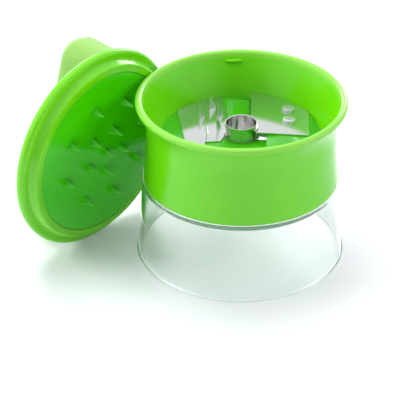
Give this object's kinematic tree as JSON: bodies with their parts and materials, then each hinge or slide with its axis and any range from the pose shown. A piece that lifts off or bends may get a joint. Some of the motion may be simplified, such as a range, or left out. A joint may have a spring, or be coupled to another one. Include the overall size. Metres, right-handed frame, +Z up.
{
  "type": "hand-held spiralizer",
  "caption": "Hand-held spiralizer: a flared bowl with a tooth plate, a slicing blade and a core tube on a clear sleeve, and a spiked food holder with a bar grip.",
  "frame": {"origin": "centre of the clear sleeve's foot, on the table", "axes": "+Z up along the bowl's axis, -Y towards the picture's viewer, +X to the viewer's right; the food holder stands on its edge at -X"},
  "size_m": [0.1543, 0.1, 0.1004],
  "materials": {
    "bowl_green": "glossy moulded plastic",
    "deck_green": "glossy moulded plastic",
    "holder_green": "glossy moulded plastic",
    "spike_green": "glossy moulded plastic",
    "grip_green": "satin soft cover",
    "core_plastic": "plain moulded plastic, hidden",
    "clear_plastic": "clear, polished",
    "blade_steel": "polished stainless sheet",
    "tube_steel": "drawn stainless tube",
    "screw_steel": "bright cold-headed steel"
  },
  "bodies": {
    "spiralizer": {"bowl": "bowl_green", "blade_deck": "deck_green", "deck_screws": "screw_steel", "slicing_blade": "blade_steel", "slicing_blade_screws": "screw_steel", "tooth_plate": "blade_steel", "tooth_plate_screws": "screw_steel", "core_tube": "tube_steel", "clear_sleeve": "clear_plastic"},
    "holder_pivot": {"holder_pivot_screw": "screw_steel"},
    "food_holder": {"holder_cap": "holder_green", "spike_disc": "spike_green", "grip_core": "core_plastic", "grip_cover": "grip_green", "grip_screws": "screw_steel"}
  },
  "joints": [
    {"name": "holder_lift", "type": "slide", "parent": "spiralizer", "child": "holder_pivot", "axis": [-0.5328, 0.4648, 0.7071], "range_m": [0, 0.12]},
    {"name": "holder_turn", "type": "hinge", "parent": "holder_pivot", "child": "food_holder", "pos_m": [-0.07026, 0.00742, 0.05022], "axis": [0.7522, -0.6562, -0.0593], "continuous": true}
  ]
}
